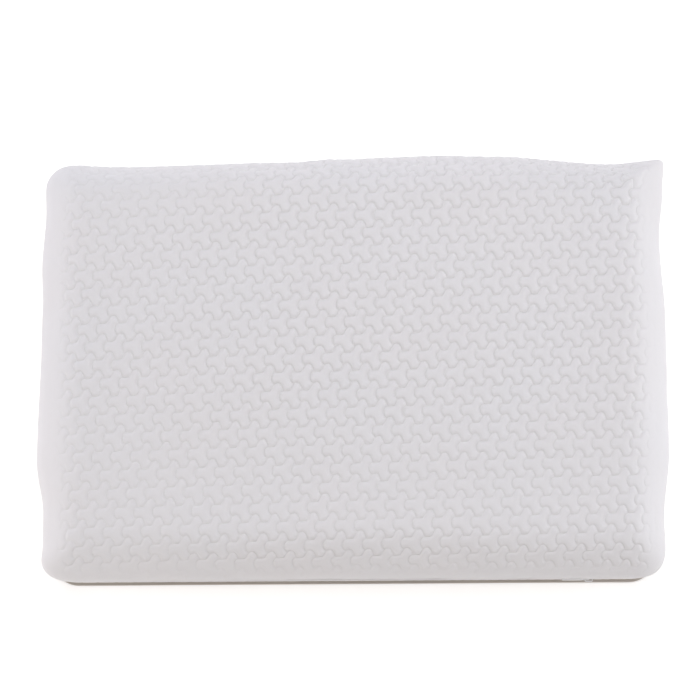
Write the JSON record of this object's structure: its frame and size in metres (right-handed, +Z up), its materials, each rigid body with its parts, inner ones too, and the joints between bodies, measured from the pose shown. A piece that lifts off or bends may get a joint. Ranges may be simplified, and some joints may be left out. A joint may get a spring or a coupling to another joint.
{
  "type": "bed pillow",
  "caption": "Loaf-shaped foam bed pillow in a zip-off quilted knit cover with an interlocking three-lobed relief; it lies flat and supports a sleeper's head.",
  "frame": {"origin": "centre of the flat back face that the pillow rests on", "axes": "+X along the pillow's length, +Y across its width and away from the zip, +Z up through its thickness, out of the crowned front face"},
  "size_m": [0.6121, 0.4213, 0.1244],
  "materials": {
    "quilted_knit": "matte",
    "liner_knit": "matte",
    "latex_foam": "matte",
    "zip_tape": "matte",
    "zip_coil": "satin",
    "zip_metal": "satin",
    "thread": "satin",
    "label_satin": "satin"
  },
  "bodies": {
    "pillow": {"foam_core": "latex_foam", "liner_front_panel": "liner_knit", "liner_back_panel": "liner_knit", "liner_seam": "liner_knit", "cover_front_panel": "quilted_knit", "cover_back_panel": "quilted_knit", "cover_seam": "quilted_knit", "zip_tape_upper": "zip_tape", "zip_tape_lower": "zip_tape", "zip_coil_upper": "zip_coil", "zip_coil_lower": "zip_coil", "zip_top_stops": "zip_metal", "zip_bottom_stop": "zip_metal", "care_label": "label_satin"},
    "zip_slider": {"zip_slider": "zip_metal"},
    "zip_pull": {"zip_pull": "zip_metal"}
  },
  "joints": [
    {"name": "zip_travel", "type": "slide", "parent": "pillow", "child": "zip_slider", "axis": [-1, 0, 0], "range_m": [0, 0.458]},
    {"name": "pull_swing", "type": "hinge", "parent": "zip_slider", "child": "zip_pull", "pos_m": [0.229, -0.21, 0.06], "axis": [0, 0, 1], "range_deg": [0, 180]}
  ]
}
